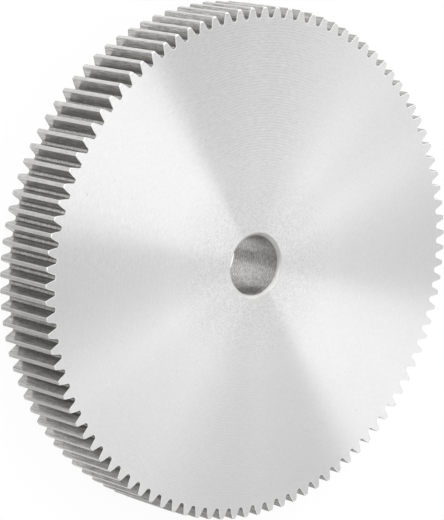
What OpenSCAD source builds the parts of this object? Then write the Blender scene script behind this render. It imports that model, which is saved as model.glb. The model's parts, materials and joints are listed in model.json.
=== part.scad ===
// Spur gear with straight involute teeth, a plain chamfered bore and flat sides with no hub.
// It lies on one side: Z runs up along the bore, and starts at the lower side.

/* [Teeth] */
// Number of teeth
teeth = 100; // [50:1:150]
// Module, the pitch diameter divided by the number of teeth
tooth_module = 1; // [0.8:0.05:1.5]
// Pressure angle of the teeth, in degrees
pressure_angle = 20; // [17.5:0.5:25]
// Height of a tooth above the pitch circle, in modules
addendum_ratio = 1; // [0.8:0.05:1.1]
// Depth of a space below the pitch circle, in modules
dedendum_ratio = 1.25; // [1.15:0.05:1.4]
// Tip corner radius of the cutting rack, which leaves the root fillet, in modules
rack_corner_ratio = 0.38; // [0.1:0.02:0.4]
// Thickness taken off each tooth, so that it runs with backlash
tooth_thinning = 0.06; // [0:0.01:0.2]

/* [Blank] */
// Face width, from side to side
face_width = 15; // [8:0.5:30]
// Break at 45 degrees on the two turned outer edges
edge_break = 0.2; // [0.1:0.05:0.5]

/* [Bore] */
// Diameter of the bore
bore_d = 12; // [6:0.5:30]
// Chamfer at 45 degrees on the upper end of the bore
upper_chamfer = 0.65; // [0.2:0.05:1.5]
// Chamfer at 45 degrees on the lower end of the bore
lower_chamfer = 0.9; // [0.2:0.05:1.5]

/* [Hidden] */

steel_colour = [0.80, 0.80, 0.79];

// Circles of the gear
pitch_r = tooth_module * teeth / 2;
tip_r = pitch_r + addendum_ratio * tooth_module;
bore_r = bore_d / 2;

// Basic rack: its tooth cuts a space. Along its pitch line it is half a pitch wide, and the
// thinning widens it. Its tip corners are rounded, at most until the two corners meet.
rack_half_width = (PI * tooth_module / 2 + tooth_thinning) / 2;
rack_depth = dedendum_ratio * tooth_module;
rack_tip_half_width = rack_half_width - rack_depth * tan(pressure_angle);
full_corner_r = rack_tip_half_width * cos(pressure_angle) / (1 - sin(pressure_angle));
corner_r = min(rack_corner_ratio * tooth_module, full_corner_r);
corner_h = corner_r - rack_depth;
corner_t = rack_half_width + corner_h * tan(pressure_angle) - corner_r / cos(pressure_angle);
join_h = corner_h - corner_r * sin(pressure_angle);

// Straight steps along each root fillet and flank, and round the blank and the bore
fillet_steps = 3;
flank_steps = 5;
blank_steps_per_tooth = 4;
bore_steps = 80;

// Overshoot of a cut past the surface that it leaves through
overshoot = 0.5;

// The rack rolls on the pitch circle. A point of it at t along and h above its pitch line
// cuts the gear when its normal crosses that line at the rolling point, roll along it.
function cut_point(t, h, roll) =
    let (turn = roll / pitch_r * 180 / PI, x = pitch_r + h, y = t - roll)
    [x * cos(turn) - y * sin(turn), x * sin(turn) + y * cos(turn)];

// Involute flank, cut by the rack's straight side at height h
function flank_point(h) =
    let (t = rack_half_width + h * tan(pressure_angle))
    cut_point(t, h, t + h / tan(pressure_angle));

// Root fillet, cut by the rack's rounded corner where its normal dips by the angle dip
function fillet_point(dip) =
    cut_point(corner_t + corner_r * cos(dip), corner_h - corner_r * sin(dip),
        corner_t + corner_h * cos(dip) / sin(dip));

// Upper half of a space, from the root circle out past the tip circle
function half_space() = [
    for (i = [0 : fillet_steps])
        fillet_point(90 - (90 - pressure_angle) * i / fillet_steps),
    for (i = [1 : flank_steps])
        flank_point(join_h + (addendum_ratio * tooth_module - join_h) * i / flank_steps),
];

function mirrored(points) =
    [for (i = [len(points) - 1 : -1 : 0]) [points[i].x, -points[i].y]];

// One tooth space, square to the sides and open past the tips
module tooth_space() {
    upper = half_space();
    rim = upper[len(upper) - 1];
    outer = [[rim.x + overshoot, rim.y], [rim.x + overshoot, -rim.y]];
    translate([0, 0, -overshoot])
        linear_extrude(face_width + 2 * overshoot)
            polygon(concat(upper, outer, mirrored(upper)));
}

// Turned blank, before its bore
module blank() {
    rotate_extrude($fn = blank_steps_per_tooth * teeth)
        polygon([
            [0, 0],
            [tip_r - edge_break, 0],
            [tip_r, edge_break],
            [tip_r, face_width - edge_break],
            [tip_r - edge_break, face_width],
            [0, face_width],
        ]);
}

// Bore and the chamfers at its ends
module bore_cut() {
    upper_mouth_r = bore_r + upper_chamfer + overshoot;
    lower_mouth_r = bore_r + lower_chamfer + overshoot;
    rotate_extrude($fn = bore_steps)
        polygon([
            [0, -overshoot],
            [lower_mouth_r, -overshoot],
            [bore_r, lower_chamfer],
            [bore_r, face_width - upper_chamfer],
            [upper_mouth_r, face_width + overshoot],
            [0, face_width + overshoot],
        ]);
}

module spur_gear() {
    color(steel_colour)
        difference() {
            blank();
            bore_cut();
            for (i = [0 : teeth - 1])
                rotate([0, 0, i * 360 / teeth])
                    tooth_space();
        }
}

spur_gear();
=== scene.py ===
import json
from math import atan2, cos, hypot, inf, pi, radians, sin, sqrt, tan

import bmesh
import bpy
from mathutils import Matrix, Vector


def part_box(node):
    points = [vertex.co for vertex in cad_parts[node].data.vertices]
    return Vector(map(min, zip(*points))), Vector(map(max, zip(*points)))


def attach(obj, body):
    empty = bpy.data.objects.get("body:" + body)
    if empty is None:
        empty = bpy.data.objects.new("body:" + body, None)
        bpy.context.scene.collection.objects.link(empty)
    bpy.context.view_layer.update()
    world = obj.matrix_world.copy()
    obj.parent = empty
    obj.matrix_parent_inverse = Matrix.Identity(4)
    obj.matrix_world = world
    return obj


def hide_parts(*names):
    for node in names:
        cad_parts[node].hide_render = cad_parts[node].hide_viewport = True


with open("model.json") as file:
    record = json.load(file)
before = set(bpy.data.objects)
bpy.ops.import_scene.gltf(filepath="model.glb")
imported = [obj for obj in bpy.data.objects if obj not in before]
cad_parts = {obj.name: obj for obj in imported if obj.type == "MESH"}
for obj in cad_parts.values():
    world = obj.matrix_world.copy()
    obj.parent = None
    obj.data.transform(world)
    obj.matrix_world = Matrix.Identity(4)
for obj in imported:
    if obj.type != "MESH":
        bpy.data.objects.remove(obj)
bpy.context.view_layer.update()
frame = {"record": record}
mounts = {mount["name"]: mount for mount in frame["record"]["mounts"]}
mm = 0.001
print("frame loaded")


# Camera: far off with a long lens, looking down on the gear and rolled on its axis
camera = {
    "azimuth": 1.792,  # degrees, 0 looks along +Y
    "elevation": 49.575,
    "roll": 103.09,
    "aim": Vector((0.682, -8.864, 15.0)) * mm,
    "distance": 572.34 * mm,
    "focalPixels": 2935.4,  # focal length in pixels of the picture
    "pictureHeight": 520,
    "sensor": 36,
}


def placeCamera():
    azimuth, elevation, roll = (radians(camera[key]) for key in ("azimuth", "elevation", "roll"))
    back = Vector((sin(azimuth) * cos(elevation), -cos(azimuth) * cos(elevation), sin(elevation)))
    side = Vector((0, 0, 1)).cross(back).normalized()
    up = back.cross(side)
    right = side * cos(roll) + up * sin(roll)
    turned = Matrix((right, back.cross(right), back)).transposed()
    bpy.ops.object.camera_add()
    eye = bpy.context.object
    eye.name = "camera"
    eye.data.sensor_width = camera["sensor"]
    eye.data.lens = camera["focalPixels"] * camera["sensor"] / camera["pictureHeight"]
    eye.matrix_world = Matrix.Translation(camera["aim"] + back * camera["distance"]) @ turned.to_4x4()
    bpy.context.scene.camera = eye


placeCamera()
print("camera placed")


# Gear, modelled in millimetres and made metres at the end
low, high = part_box("spur_gear")
gear = {
    "teeth": 100,
    "pitchRadius": mounts["teeth"]["pos_m"][0] / mm,
    "pressureAngle": radians(20),
    "addendum": 1.0,  # these three in modules
    "dedendum": 1.25,
    "rackCorner": 0.38,
    "thinning": 0.06,
    "width": (high.z - low.z) / mm,
    "boreRadius": mounts["bore"]["dims"]["r_mm"],
    "boreLength": mounts["bore"]["dims"]["length_mm"],
    "boreMiddle": mounts["bore"]["pos_m"][2] / mm,
    "edgeBreak": 0.2,
    "deburr": 0.1,  # rounding left on the edges of the teeth
    "deburrSteps": 2,
    "chamferRounding": 0.05,
    "filletSteps": 6,
    "flankSteps": 9,
    "sharpAngle": radians(25),  # edges sharper than this are deburred
    "smoothAngle": radians(35),
    "sameAngle": 1e-4,
    "samePlace": 1e-3,
}
gear["module"] = 2 * gear["pitchRadius"] / gear["teeth"]
gear["pitchAngle"] = 2 * pi / gear["teeth"]
gear["tipRadius"] = gear["pitchRadius"] + gear["addendum"] * gear["module"]
gear["rootRadius"] = gear["pitchRadius"] - gear["dedendum"] * gear["module"]
gear["mouthRadius"] = gear["boreRadius"] + 1  # just outside both chamfers of the bore
gear["lowerChamfer"] = gear["boreMiddle"] - gear["boreLength"] / 2
gear["upperChamfer"] = gear["width"] - gear["boreMiddle"] - gear["boreLength"] / 2


def rackCut(along, height, roll):
    # where a point of the rolling rack cuts the gear
    turn = roll / gear["pitchRadius"]
    point = Vector((gear["pitchRadius"] + height, along - roll, 0))
    return Matrix.Rotation(turn, 3, "Z") @ point


def halfSpace():
    # outline from the middle of a tooth space up to the tip corner of the next tooth
    angle = gear["pressureAngle"]
    halfWidth = (pi * gear["module"] / 2 + gear["thinning"]) / 2
    corner = gear["rackCorner"] * gear["module"]
    cornerHeight = corner - gear["dedendum"] * gear["module"]
    cornerAlong = halfWidth + cornerHeight * tan(angle) - corner / cos(angle)
    joinHeight = cornerHeight - corner * sin(angle)
    reach = (gear["tipRadius"] ** 2 - gear["pitchRadius"] ** 2) / sin(angle) ** 2
    tipHeight = (sqrt(gear["pitchRadius"] ** 2 + reach) - gear["pitchRadius"]) * sin(angle) ** 2
    points = []
    for step in range(gear["filletSteps"]):
        dip = pi / 2 - (pi / 2 - angle) * step / gear["filletSteps"]
        points.append(rackCut(cornerAlong + corner * cos(dip), cornerHeight - corner * sin(dip),
                              cornerAlong + cornerHeight / tan(dip)))
    for step in range(gear["flankSteps"] + 1):
        height = joinHeight + (tipHeight - joinHeight) * step / gear["flankSteps"]
        along = halfWidth + height * tan(angle)
        points.append(rackCut(along, height, along + height / tan(angle)))
    return points


def polar(radius, angle):
    return Vector((radius * cos(angle), radius * sin(angle), 0))


def radiusOf(point):
    return hypot(point.x, point.y)


def acrossTooth(point):
    # the same point on the tooth's other wall
    return polar(radiusOf(point), gear["pitchAngle"] - atan2(point.y, point.x))


def sectorOutline():
    # one tooth from space to space, and in to the bore
    rising = halfSpace()
    middle = gear["pitchAngle"] / 2
    return [
        polar(gear["rootRadius"], 0), *rising,
        polar(gear["tipRadius"], middle), *(acrossTooth(point) for point in reversed(rising)),
        polar(gear["rootRadius"], gear["pitchAngle"]),
        *(polar(gear["boreRadius"], angle) for angle in (gear["pitchAngle"], middle, 0)),
    ]


def pick(kind, test):
    # selects what passes the test in the mesh that is being edited
    bpy.ops.mesh.select_mode(type=kind)
    bpy.ops.mesh.select_all(action="DESELECT")
    mesh = bmesh.from_edit_mesh(bpy.context.object.data)
    for part in {"VERT": mesh.verts, "EDGE": mesh.edges, "FACE": mesh.faces}[kind]:
        if test(part):
            part.select_set(True)
    mesh.select_flush_mode()
    bmesh.update_edit_mesh(bpy.context.object.data)


def isSectorWall(face):
    angles = [atan2(vert.co.y, vert.co.x) for vert in face.verts]
    return max(angles) - min(angles) < gear["sameAngle"]


def isBoreMouth(edge, height):
    return all(radiusOf(vert.co) < gear["boreRadius"] + gear["samePlace"]
               and abs(vert.co.z - height) < gear["samePlace"] for vert in edge.verts)


def isSharp(edge, inner, outer):
    if any(isSectorWall(face) for face in edge.link_faces):
        return False
    middle = (edge.verts[0].co + edge.verts[1].co) / 2
    return inner < radiusOf(middle) < outer and edge.calc_face_angle(0) > gear["sharpAngle"]


def traceSector():
    # drawn on from one point, filled, and raised to the face width
    outline = sectorOutline()
    bpy.ops.mesh.select_mode(type="VERT")
    bpy.ops.mesh.merge(type="CENTER")
    bpy.ops.transform.translate(value=outline[0])
    for here, there in zip(outline, outline[1:]):
        bpy.ops.mesh.extrude_region_move(TRANSFORM_OT_translate={"value": there - here})
    pick("VERT", lambda vert: len(vert.link_edges) == 1)
    bpy.ops.mesh.edge_face_add()
    bpy.ops.mesh.select_all(action="SELECT")
    bpy.ops.mesh.edge_face_add()
    bpy.ops.mesh.extrude_region_move(TRANSFORM_OT_translate={"value": (0, 0, gear["width"])})
    bpy.ops.mesh.select_all(action="SELECT")
    bpy.ops.mesh.normals_make_consistent(inside=False)


def breakEdges():
    # chamfer the bore's mouths and break the turned outer edges
    for height, chamfer in ((0, gear["lowerChamfer"]), (gear["width"], gear["upperChamfer"])):
        pick("EDGE", lambda edge: isBoreMouth(edge, height))
        bpy.ops.mesh.bevel(offset=chamfer, segments=1, affect="EDGES")
    outward = polar(1, gear["pitchAngle"] / 2)
    brokenRadius = gear["tipRadius"] - gear["edgeBreak"]
    for height, side in ((0, -1), (gear["width"], 1)):
        bpy.ops.mesh.select_all(action="SELECT")
        bpy.ops.mesh.bisect(plane_co=outward * brokenRadius + Vector((0, 0, height)),
                            plane_no=outward + Vector((0, 0, side)), use_fill=True,
                            clear_outer=True, threshold=1e-5)
    # deburr the teeth and the rims of the bore chamfers
    pick("EDGE", lambda edge: isSharp(edge, gear["mouthRadius"], inf))
    bpy.ops.mesh.bevel(offset=gear["deburr"], segments=gear["deburrSteps"], affect="EDGES")
    pick("EDGE", lambda edge: isSharp(edge, 0, gear["mouthRadius"]))
    bpy.ops.mesh.bevel(offset=gear["chamferRounding"], segments=1, affect="EDGES")


def repeatSector():
    # open its walls, so that the sectors join without a seam
    pick("FACE", isSectorWall)
    bpy.ops.mesh.delete(type="FACE")
    bpy.ops.mesh.select_all(action="SELECT")
    bpy.ops.mesh.spin(steps=gear["teeth"] - 1, dupli=True, angle=2 * pi - gear["pitchAngle"],
                      center=(0, 0, 0), axis=(0, 0, 1))
    bpy.ops.mesh.select_all(action="SELECT")
    bpy.ops.mesh.remove_doubles(threshold=gear["samePlace"])
    bpy.ops.mesh.normals_make_consistent(inside=False)


def modelGear():
    bpy.ops.object.select_all(action="DESELECT")
    bpy.ops.mesh.primitive_plane_add(size=1)
    piece = bpy.context.object
    piece.name = "gear"
    bpy.ops.object.mode_set(mode="EDIT")
    traceSector()
    breakEdges()
    repeatSector()
    bpy.ops.object.mode_set(mode="OBJECT")
    piece.scale = (mm, mm, mm)
    bpy.ops.object.transform_apply(scale=True)
    bpy.ops.object.shade_smooth_by_angle(angle=gear["smoothAngle"])
    weighted = piece.modifiers.new("weighted", "WEIGHTED_NORMAL")
    weighted.keep_sharp = True
    bpy.ops.object.modifier_apply(modifier="weighted")
    return piece


gearPiece = modelGear()
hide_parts("spur_gear")
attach(gearPiece, "root")
print("gear modelled:", len(gearPiece.data.polygons), "faces")


class Signal:
    # an output of a shader node; arithmetic on it adds Math nodes
    def __init__(self, finish, socket):
        self.finish = finish
        self.socket = socket

    def __add__(self, other):
        return self.finish.maths("ADD", self, other)

    def __sub__(self, other):
        return self.finish.maths("SUBTRACT", self, other)

    def __rsub__(self, other):
        return self.finish.maths("SUBTRACT", other, self)

    def __mul__(self, other):
        return self.finish.maths("MULTIPLY", self, other)

    def __truediv__(self, other):
        return self.finish.maths("DIVIDE", self, other)

    def __pow__(self, other):
        return self.finish.maths("POWER", self, other)

    __radd__ = __add__
    __rmul__ = __mul__


class Finish:
    # a material and the nodes that make it
    def __init__(self, name):
        self.material = bpy.data.materials.new(name)
        self.material.use_nodes = True
        self.tree = self.material.node_tree
        self.tree.nodes.clear()

    def add(self, kind, settings=None, sockets=None, output=0):
        node = self.tree.nodes.new(kind)
        for key, value in (settings or {}).items():
            setattr(node, key, value)
        for key, value in (sockets or {}).items():
            if isinstance(value, Signal):
                self.tree.links.new(value.socket, node.inputs[key])
            else:
                node.inputs[key].default_value = value
        return Signal(self, node.outputs[output]) if len(node.outputs) else None

    def maths(self, operation, *values):
        return self.add("ShaderNodeMath", {"operation": operation}, dict(enumerate(values)))

    def limit(self, value):
        return self.add("ShaderNodeClamp", None, {"Value": value})

    def fade(self, value, start, end):
        # 0 at the start and before it, 1 at the end and past it; the end may be the lower of the two
        return self.limit((value - start) * (1 / (end - start)))

    def noise(self, vector, scale, detail=2, roughness=0.5):
        # from -0.5 to 0.5
        sockets = {"Vector": vector, "Scale": scale, "Detail": detail, "Roughness": roughness}
        return self.add("ShaderNodeTexNoise", None, sockets) - 0.5

    def vector(self, x, y, z):
        return self.add("ShaderNodeCombineXYZ", None, {0: x, 1: y, 2: z})

    def close(self, shader):
        self.add("ShaderNodeOutputMaterial", None, {"Surface": shader})
        return self.material


class Place:
    # a point of the surface in millimetres, how far it is from the bore's axis, and the direction
    # out to it
    def __init__(self, finish):
        point = finish.add("ShaderNodeTexCoord", output="Object")
        self.x, self.y, self.z = (
            finish.add("ShaderNodeSeparateXYZ", sockets={0: point}, output=axis) * (1 / mm)
            for axis in "XYZ")
        self.radius = (self.x * self.x + self.y * self.y) ** 0.5
        self.east, self.north = self.x / self.radius, self.y / self.radius

    def toward(self, east, north):
        # 1 straight out in this direction, and less away from it
        return self.east * east + self.north * north


# directions of brushing, for Anisotropic Rotation
alongBore, roundBore = 0.0, 0.25


def steelShader(finish, grey, height, bump, roughness, warmth=0.0, anisotropic=0.0, brushing=roundBore):
    # bare steel, whose grey and roughness may vary over the surface
    tint = (1 + warmth, 1, 1 - 2 * warmth, 1)
    colour = finish.add("ShaderNodeMix", {"data_type": "RGBA"},
                        {0: finish.limit(grey), 6: (0, 0, 0, 1), 7: tint}, output=2)
    normal = finish.add("ShaderNodeBump", None,
                        {"Strength": 1.0, "Distance": bump * mm, "Height": height})
    return finish.add("ShaderNodeBsdfPrincipled", None, {
        "Base Color": colour, "Metallic": 1.0, "Roughness": roughness,
        "Anisotropic": anisotropic, "Anisotropic Rotation": brushing, "Normal": normal})


# In each dictionary a fade begins at its first value and is full at its second. Those by distance
# are in millimetres from the bore's axis, or up from the lower side.
turnedSide = {
    "grey": 0.811,
    "darkerAtBore": 0.12,
    "darkerAtBoreFade": (22, 7.7),
    # painted shade toward the rim
    "paintedShadeAtRim": 0.02,
    "paintedShadeAtRimFade": (20, 45),
    "roughness": 0.37,
    "roughnessAtRim": 0.41,
    "roughnessFade": (22, 47),
    "brushed": {"anisotropic": 1.0, "bump": 0.004},
    "plain": {"roughness": 0.42, "bump": 0.004},
    "plainAtBore": 0.6,  # share that isn't brushed
    "plainFade": (24, 5.8),
    "feedMarksPerMm": 1.74,
    "feedPhase": 1.5,
    "feedWobble": 3,
    "wobblePerMm": 0.3,
    "feedContrast": 0.005,
    "fineOutward": 7,  # per millimetre
    "fineRound": 0.9,
    "fineContrast": 0.12,
    "paintedSheenSide": (-0.93, -0.37),  # painted sheen: direction from the bore in which all marks are painted stronger, where the reflection makes them stand out
    "paintedSheenFade": (0.8, 0.967),
    "paintedSheenRadii": (18, 21.3),
    "feedPaintedSheen": 0.03,  # added to the contrasts there, as painted sheen
    "finePaintedSheen": 0.2,
    "paintedSheenFrontSide": (0.05, -1),  # and in which the fine ones are painted stronger, also painted sheen
    "paintedSheenFrontFade": (0.966, 0.991),
    "finePaintedSheenAtFront": 0.14,
    "grainPerMm": 3.7,
    "grainContrast": 0.1,
    "grainAtBore": 0.36,
    "grainFade": (22, 12),
    "mottlePerMm": 0.12,
    "mottle": 0.03,
    "specksPerMm": 1.5,
    "specksFade": (0.36, 0.393),
    "specks": 0.1,
    "scratches": [  # from, to and half width in millimetres, and how much lighter
        ((24.05, -20.43), (21.83, -19.12), 0.12, 0.08),
        ((-24.5, 18.7), (-22.9, 20.6), 0.1, -0.08),
        ((-22.9, 20.6), (-21.8, 19.7), 0.1, -0.06),
    ],
    "scratchEnds": 0.25,  # length over which a scratch fades
}


def scratch(finish, at, start, end, halfWidth):
    # 1 on a straight mark, fading to 0 at its edges and ends
    start, end = Vector(start), Vector(end)
    middle, half = (start + end) / 2, (end - start).length / 2
    along = (end - start) / (2 * half)
    x, y = at.x - middle.x, at.y - middle.y
    across = finish.maths("ABSOLUTE", x * along.y - y * along.x)
    reach = finish.maths("ABSOLUTE", x * along.x + y * along.y)
    return finish.fade(across, halfWidth, 0) * finish.fade(reach, half, half - turnedSide["scratchEnds"])


def turnedSideFinish():
    finish, look = Finish("turned side"), turnedSide
    at = Place(finish)
    spot = finish.vector(at.x, at.y, at.z)
    # the turning tool's feed marks, and fine ones between them, painted stronger on one side of the gear
    # as painted sheen
    phase = finish.noise(spot, look["wobblePerMm"], 1) * look["feedWobble"] + look["feedPhase"]
    rings = finish.maths("SINE", at.radius * (look["feedMarksPerMm"] * 2 * pi) + phase)
    across = at.radius * look["fineOutward"]
    fine = finish.noise(finish.vector(across, at.x * look["fineRound"], at.y * look["fineRound"]), 1.0, 1)
    # painted sheen: the marks' contrast is raised where the highlight fan makes them stand out
    paintedSheen = (finish.fade(at.toward(*look["paintedSheenSide"]), *look["paintedSheenFade"])
                * finish.fade(at.radius, *look["paintedSheenRadii"]))
    # painted sheen: fine marks raised on the side toward the camera
    front = finish.fade(at.toward(*look["paintedSheenFrontSide"]), *look["paintedSheenFrontFade"])
    grain = finish.noise(spot, look["grainPerMm"], 1)
    grainAtBore = finish.fade(at.radius, *look["grainFade"]) * look["grainAtBore"]
    mottle = finish.noise(spot, look["mottlePerMm"], 3)
    specks = finish.fade(finish.noise(spot, look["specksPerMm"], 0), *look["specksFade"])
    tone = 1 + rings * (paintedSheen * look["feedPaintedSheen"] + look["feedContrast"])
    tone = tone + fine * (paintedSheen * look["finePaintedSheen"] + look["fineContrast"])
    tone = tone + fine * front * look["finePaintedSheenAtFront"]
    tone = tone + grain * (grainAtBore + look["grainContrast"])
    tone = tone + mottle * look["mottle"] - specks * look["specks"]
    # painted shade: the side slightly darker toward the rim
    tone = tone - finish.fade(at.radius, *look["paintedShadeAtRimFade"]) * look["paintedShadeAtRim"]
    tone = tone - finish.fade(at.radius, *look["darkerAtBoreFade"]) * look["darkerAtBore"]
    for start, end, halfWidth, lift in look["scratches"]:
        tone = tone + scratch(finish, at, start, end, halfWidth) * lift
    grey = tone * look["grey"]
    roughness = finish.fade(at.radius, *look["roughnessFade"])
    roughness = roughness * (look["roughnessAtRim"] - look["roughness"]) + look["roughness"]
    brushed = steelShader(finish, grey, rings, roughness=roughness, **look["brushed"])
    plain = steelShader(finish, grey, grain, **look["plain"])
    share = finish.fade(at.radius, *look["plainFade"]) * look["plainAtBore"]
    return finish.close(finish.add("ShaderNodeMixShader", None, {0: share, 1: brushed, 2: plain}))


toothWall = {
    "grey": 0.47,
    "lowGrey": 0.33,
    "lowFade": (49.6, 49.27),
    "streaksPerMm": 4.5,
    "streakLength": 12,
    "streakContrast": 1.3,
    "brokenPerMm": 3.0,
    "brokenContrast": 0.5,
    "steel": {"roughness": 0.25, "warmth": 0.012, "anisotropic": 0.9, "brushing": alongBore, "bump": 0.01},
}


def toothFinish():
    # hobbed: fine broken streaks along the tooth, darker toward the root
    finish, look = Finish("hobbed tooth"), toothWall
    at = Place(finish)
    along = at.z * (1 / look["streakLength"])
    streaks = finish.noise(finish.vector(at.x, at.y, along), look["streaksPerMm"], 1, 0.6)
    broken = finish.noise(finish.vector(at.x, at.y, at.z * 0.4), look["brokenPerMm"], 1)
    low = finish.fade(at.radius, *look["lowFade"])
    grey = low * (look["lowGrey"] - look["grey"]) + look["grey"]
    tone = 1 + streaks * look["streakContrast"] + broken * look["brokenContrast"]
    return finish.close(steelShader(finish, tone * grey, streaks, **look["steel"]))


toothRoot = {
    "radius": 48.87,  # inside it the hob's tip has cut
    "grey": 0.42,
    "grainPerMm": 3.5,
    "grainContrast": 2.0,
    "patchesPerMm": 0.9,
    "patchContrast": 0.4,
    "steel": {"roughness": 0.38, "warmth": 0.012, "anisotropic": 0.9, "bump": 0.01},
}


def rootFinish():
    # the hob's tip leaves a coarse grain in low patches, both a little longer along the space
    finish, look = Finish("hobbed root"), toothRoot
    at = Place(finish)
    grain = finish.noise(finish.vector(at.x, at.y, at.z * 0.6), look["grainPerMm"], 2, 0.65)
    patches = finish.noise(finish.vector(at.x, at.y, at.z * 0.5), look["patchesPerMm"], 1)
    tone = 1 + grain * look["grainContrast"] + patches * look["patchContrast"]
    return finish.close(steelShader(finish, tone * look["grey"], grain, **look["steel"]))


toothTip = {
    "grey": 0.6,
    "marksPerMm": 3.2,
    "markContrast": 0.3,
    "streaksPerMm": 4.0,
    "streakContrast": 0.25,
    "paintedLight": 0.4,  # painted light: how much lighter the lands are toward +X
    "paintedLightFade": (0.4, 0.9),
    "steel": {"roughness": 0.42, "warmth": 0.01, "anisotropic": 0.9, "bump": 0.003},
}


def tipFinish():
    # turned before hobbing: fine marks across the land, and faint streaks along it
    finish, look = Finish("turned tip"), toothTip
    at = Place(finish)
    marks = finish.noise(finish.vector(at.x * 0.7, at.y * 0.7, at.z * look["marksPerMm"]), 1.0, 2, 0.6)
    streaks = finish.noise(finish.vector(at.x, at.y, at.z * 0.1), look["streaksPerMm"], 1)
    # painted light: the lands are made lighter toward +X
    paintedLight = finish.fade(at.east, *look["paintedLightFade"]) * look["paintedLight"] + 1
    grey = marks * look["markContrast"] + streaks * look["streakContrast"] + look["grey"]
    return finish.close(steelShader(finish, grey * paintedLight, marks, **look["steel"]))


boreWall = {
    "grey": 0.603,
    "feedMarksPerMm": 1.45,
    "feedPhase": 2.5,
    "feedWobble": 5,
    "feedContrast": 0.096,
    "finePerMm": 4.5,
    "fineContrast": 1.44,
    "darkerAtTop": 0.192,
    "darkerAtTopFade": (8, 14.25),
    "paintedReflections": [  # painted reflections, a dark and a light band along the lower part of the hole: direction, and how much lighter
        (radians(107), -0.192),
        (radians(131), 0.115),
    ],
    "paintedReflectionFade": (0.97, 0.9986),
    "paintedReflectionHeights": (9, 6.5),
    "steel": {"roughness": 0.42, "warmth": 0.01, "anisotropic": 1.0, "bump": 0.005},
}


def boreFinish():
    # rings of the boring tool, with much finer ones between them
    finish, look = Finish("bored hole"), boreWall
    at = Place(finish)
    wobble = finish.noise(finish.vector(at.z * 0.2, at.east, at.north), 1.5, 1)
    phase = wobble * look["feedWobble"] + look["feedPhase"]
    rings = finish.maths("SINE", at.z * (look["feedMarksPerMm"] * 2 * pi) + phase)
    fine = finish.noise(finish.vector(at.z * look["finePerMm"], at.east * 9, at.north * 9), 1.0, 1)
    tone = 1 + rings * look["feedContrast"] + fine * look["fineContrast"]
    tone = tone - finish.fade(at.z, *look["darkerAtTopFade"]) * look["darkerAtTop"]
    lower = finish.fade(at.z, *look["paintedReflectionHeights"])
    # painted reflection: bands darker and lighter by direction, standing in for the bore's reflection
    for angle, lift in look["paintedReflections"]:
        paintedReflection = finish.fade(at.toward(cos(angle), sin(angle)), *look["paintedReflectionFade"])
        tone = tone + paintedReflection * lower * lift
    return finish.close(steelShader(finish, tone * look["grey"], fine, **look["steel"]))


boreChamfer = {
    "grey": 0.63,
    "ringsPerMm": 4,
    "ringContrast": 0.3,
    "steel": {"roughness": 0.62, "warmth": 0.005, "anisotropic": 0.2, "bump": 0.002},
}


def chamferFinish():
    finish, look = Finish("bore chamfer"), boreChamfer
    at = Place(finish)
    rings = finish.noise(finish.vector(at.radius * look["ringsPerMm"], at.east * 2, at.north * 2), 1.0, 2)
    grey = rings * look["ringContrast"] + look["grey"]
    return finish.close(steelShader(finish, grey, rings, **look["steel"]))


roundedEdges = {
    "paintedHighlightGrey": 0.96,  # where the turned sides meet the tooth walls: brushed steel, with a painted highlight that makes them near white
    "toothGrey": 0.66,
    "marksPerMm": 3.0,
    "markContrast": 0.1,
    "steel": {"roughness": 0.5, "bump": 0.002},
}


def edgeFinish(name, grey):
    finish, look = Finish(name), roundedEdges
    at = Place(finish)
    marks = finish.noise(finish.vector(at.radius, at.east * 3, at.north * 3), look["marksPerMm"], 2)
    return finish.close(steelShader(finish, marks * look["markContrast"] + grey, marks, **look["steel"]))


# how far a face has to point along the bore, or outward, to take a finish
facing = {
    "side": 0.99,
    "chamfer": 0.3,
    "edge": 0.1,
    "toothEdge": 0.55,
    "tip": 0.97,
}


def finishOf(face):
    radius, tilt = radiusOf(face.center) / mm, abs(face.normal.z)
    outward = face.normal.dot(polar(1, atan2(face.center.y, face.center.x)))
    if tilt > facing["side"]:
        return "side"
    if radius < gear["mouthRadius"]:
        return "bore" if tilt < facing["chamfer"] else "chamfer"
    if tilt > facing["edge"]:
        return "edge" if outward < facing["toothEdge"] or radius < toothRoot["radius"] else "toothEdge"
    if radius < toothRoot["radius"]:
        return "root"
    if radius > gear["tipRadius"] - 2 * gear["deburr"] and outward > facing["toothEdge"]:
        return "tip" if outward > facing["tip"] else "toothEdge"
    return "flank"


def dressGear():
    finishes = {
        "side": turnedSideFinish(),
        "flank": toothFinish(),
        "root": rootFinish(),
        "tip": tipFinish(),
        "bore": boreFinish(),
        "chamfer": chamferFinish(),
        # painted highlight on the outer edges, partly brushed steel
        "edge": edgeFinish("brushed edge with painted highlight", roundedEdges["paintedHighlightGrey"]),
        "toothEdge": edgeFinish("tooth edge", roundedEdges["toothGrey"]),
    }
    for finish in finishes.values():
        gearPiece.data.materials.append(finish)
    order = list(finishes)
    for face in gearPiece.data.polygons:
        face.material_index = order.index(finishOf(face))


dressGear()
print("gear dressed")


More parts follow.
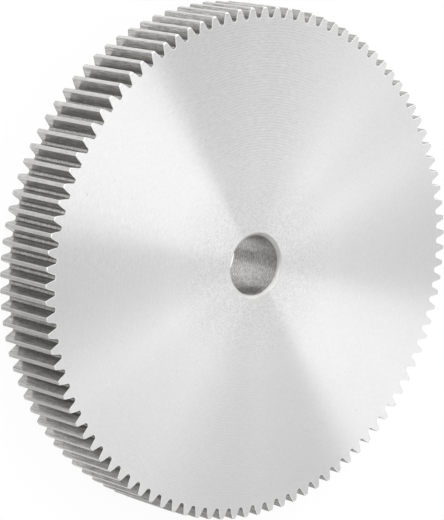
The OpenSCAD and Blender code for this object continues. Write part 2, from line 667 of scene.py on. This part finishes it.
studio = {
    "floorSize": 3.0,
    "floorDrop": 0.02 * mm,  # keeps it clear of the gear's lower side
    "floorGrey": 0.9,
    "floorSeen": 0.93,  # share of plain white, to the camera and through anything clear
    "floorReflected": 0.85,  # and in reflections
    "paintedShadowInReflections": 0.26,  # painted shadow: less white in reflections, past the teeth toward +X
    "darkerFade": (-2, 14.67),  # both fades along X, in millimetres
    "darkerPastTeeth": (51, 54.3),
    "paintedShadowFarther": 0.19,  # more painted shadow, added farther out
    "farFade": (30, 40),
    "worldStrength": 0.35,
    "lampDistance": 1.0,
    "lamps": {  # azimuth and elevation in degrees, size in metres, power in watts
        "front": {"azimuth": 232, "elevation": 54, "size": (1.05, 0.32), "power": 6.5},
        "frontRight": {"azimuth": 285, "elevation": 40, "size": (0.4, 0.4), "power": 0.35},
        "top": {"azimuth": 55, "elevation": 64, "size": (1.74, 0.77), "power": 3.0},
        "back": {"azimuth": 99, "elevation": 20, "size": (1.93, 0.54), "power": 3.8},
        "backSide": {"azimuth": 140, "elevation": 14, "size": (0.8, 0.35), "power": 1.8},
        "side": {"azimuth": 190, "elevation": 5.3, "size": (1.25, 0.16), "power": 4.4},
        "frontLow": {"azimuth": 240, "elevation": 6, "size": (0.45, 0.16), "power": 0.37},
        "behindLow": {"azimuth": 10, "elevation": 6, "size": (0.5, 0.16), "power": 0.8},
        "small": {"azimuth": 354, "elevation": 50, "size": (0.26, 0.26), "power": 0.3},
    },
}


def addLamp(name, lamp):
    azimuth, elevation = radians(lamp["azimuth"]), radians(lamp["elevation"])
    toward = Vector((cos(elevation) * cos(azimuth), cos(elevation) * sin(azimuth), sin(elevation)))
    bpy.ops.object.light_add(type="AREA", location=toward * studio["lampDistance"])
    light = bpy.context.object
    light.name = name
    light.data.shape = "RECTANGLE"
    light.data.size, light.data.size_y = lamp["size"]
    light.data.energy = lamp["power"]
    light.rotation_mode = "QUATERNION"
    light.rotation_quaternion = toward.to_track_quat("Z", "Y")


def floorFinish():
    # matte under the gear's shadow, white to the camera, and in reflections a painted shadow on one side
    finish = Finish("floor")
    at = Place(finish)
    grey = studio["floorGrey"]
    matte = finish.add("ShaderNodeBsdfDiffuse", sockets={"Color": (grey, grey, grey, 1)})
    seen, glossy, through = (finish.add("ShaderNodeLightPath", output=ray)
                             for ray in ("Is Camera Ray", "Is Glossy Ray", "Is Transmission Ray"))
    # painted shadow: the floor seen in reflections is darker past the teeth toward +X
    beside = (finish.fade(at.x, *studio["darkerFade"])
              * finish.fade(at.radius, *studio["darkerPastTeeth"]))
    darker = finish.fade(at.x, *studio["farFade"]) * studio["paintedShadowFarther"] + studio["paintedShadowInReflections"]
    white = finish.add("ShaderNodeEmission",
                       sockets={"Color": 1 - glossy * beside * darker, "Strength": 1.0})
    share = finish.limit(seen + through) * studio["floorSeen"] + glossy * studio["floorReflected"]
    return finish.close(finish.add("ShaderNodeMixShader", sockets={0: share, 1: matte, 2: white}))


def layFloor():
    bpy.ops.mesh.primitive_plane_add(size=studio["floorSize"], location=(0, 0, -studio["floorDrop"]))
    floor = bpy.context.object
    floor.name = "floor"
    floor.data.materials.append(floorFinish())


def buildStudio():
    layFloor()
    world = bpy.data.worlds.new("studio")
    world.use_nodes = True
    background = world.node_tree.nodes["Background"]
    background.inputs["Color"].default_value = (1, 1, 1, 1)
    background.inputs["Strength"].default_value = studio["worldStrength"]
    bpy.context.scene.world = world
    for name, lamp in studio["lamps"].items():
        addLamp(name, lamp)


buildStudio()
bpy.context.scene.view_settings.view_transform = "Standard"
print("studio built")
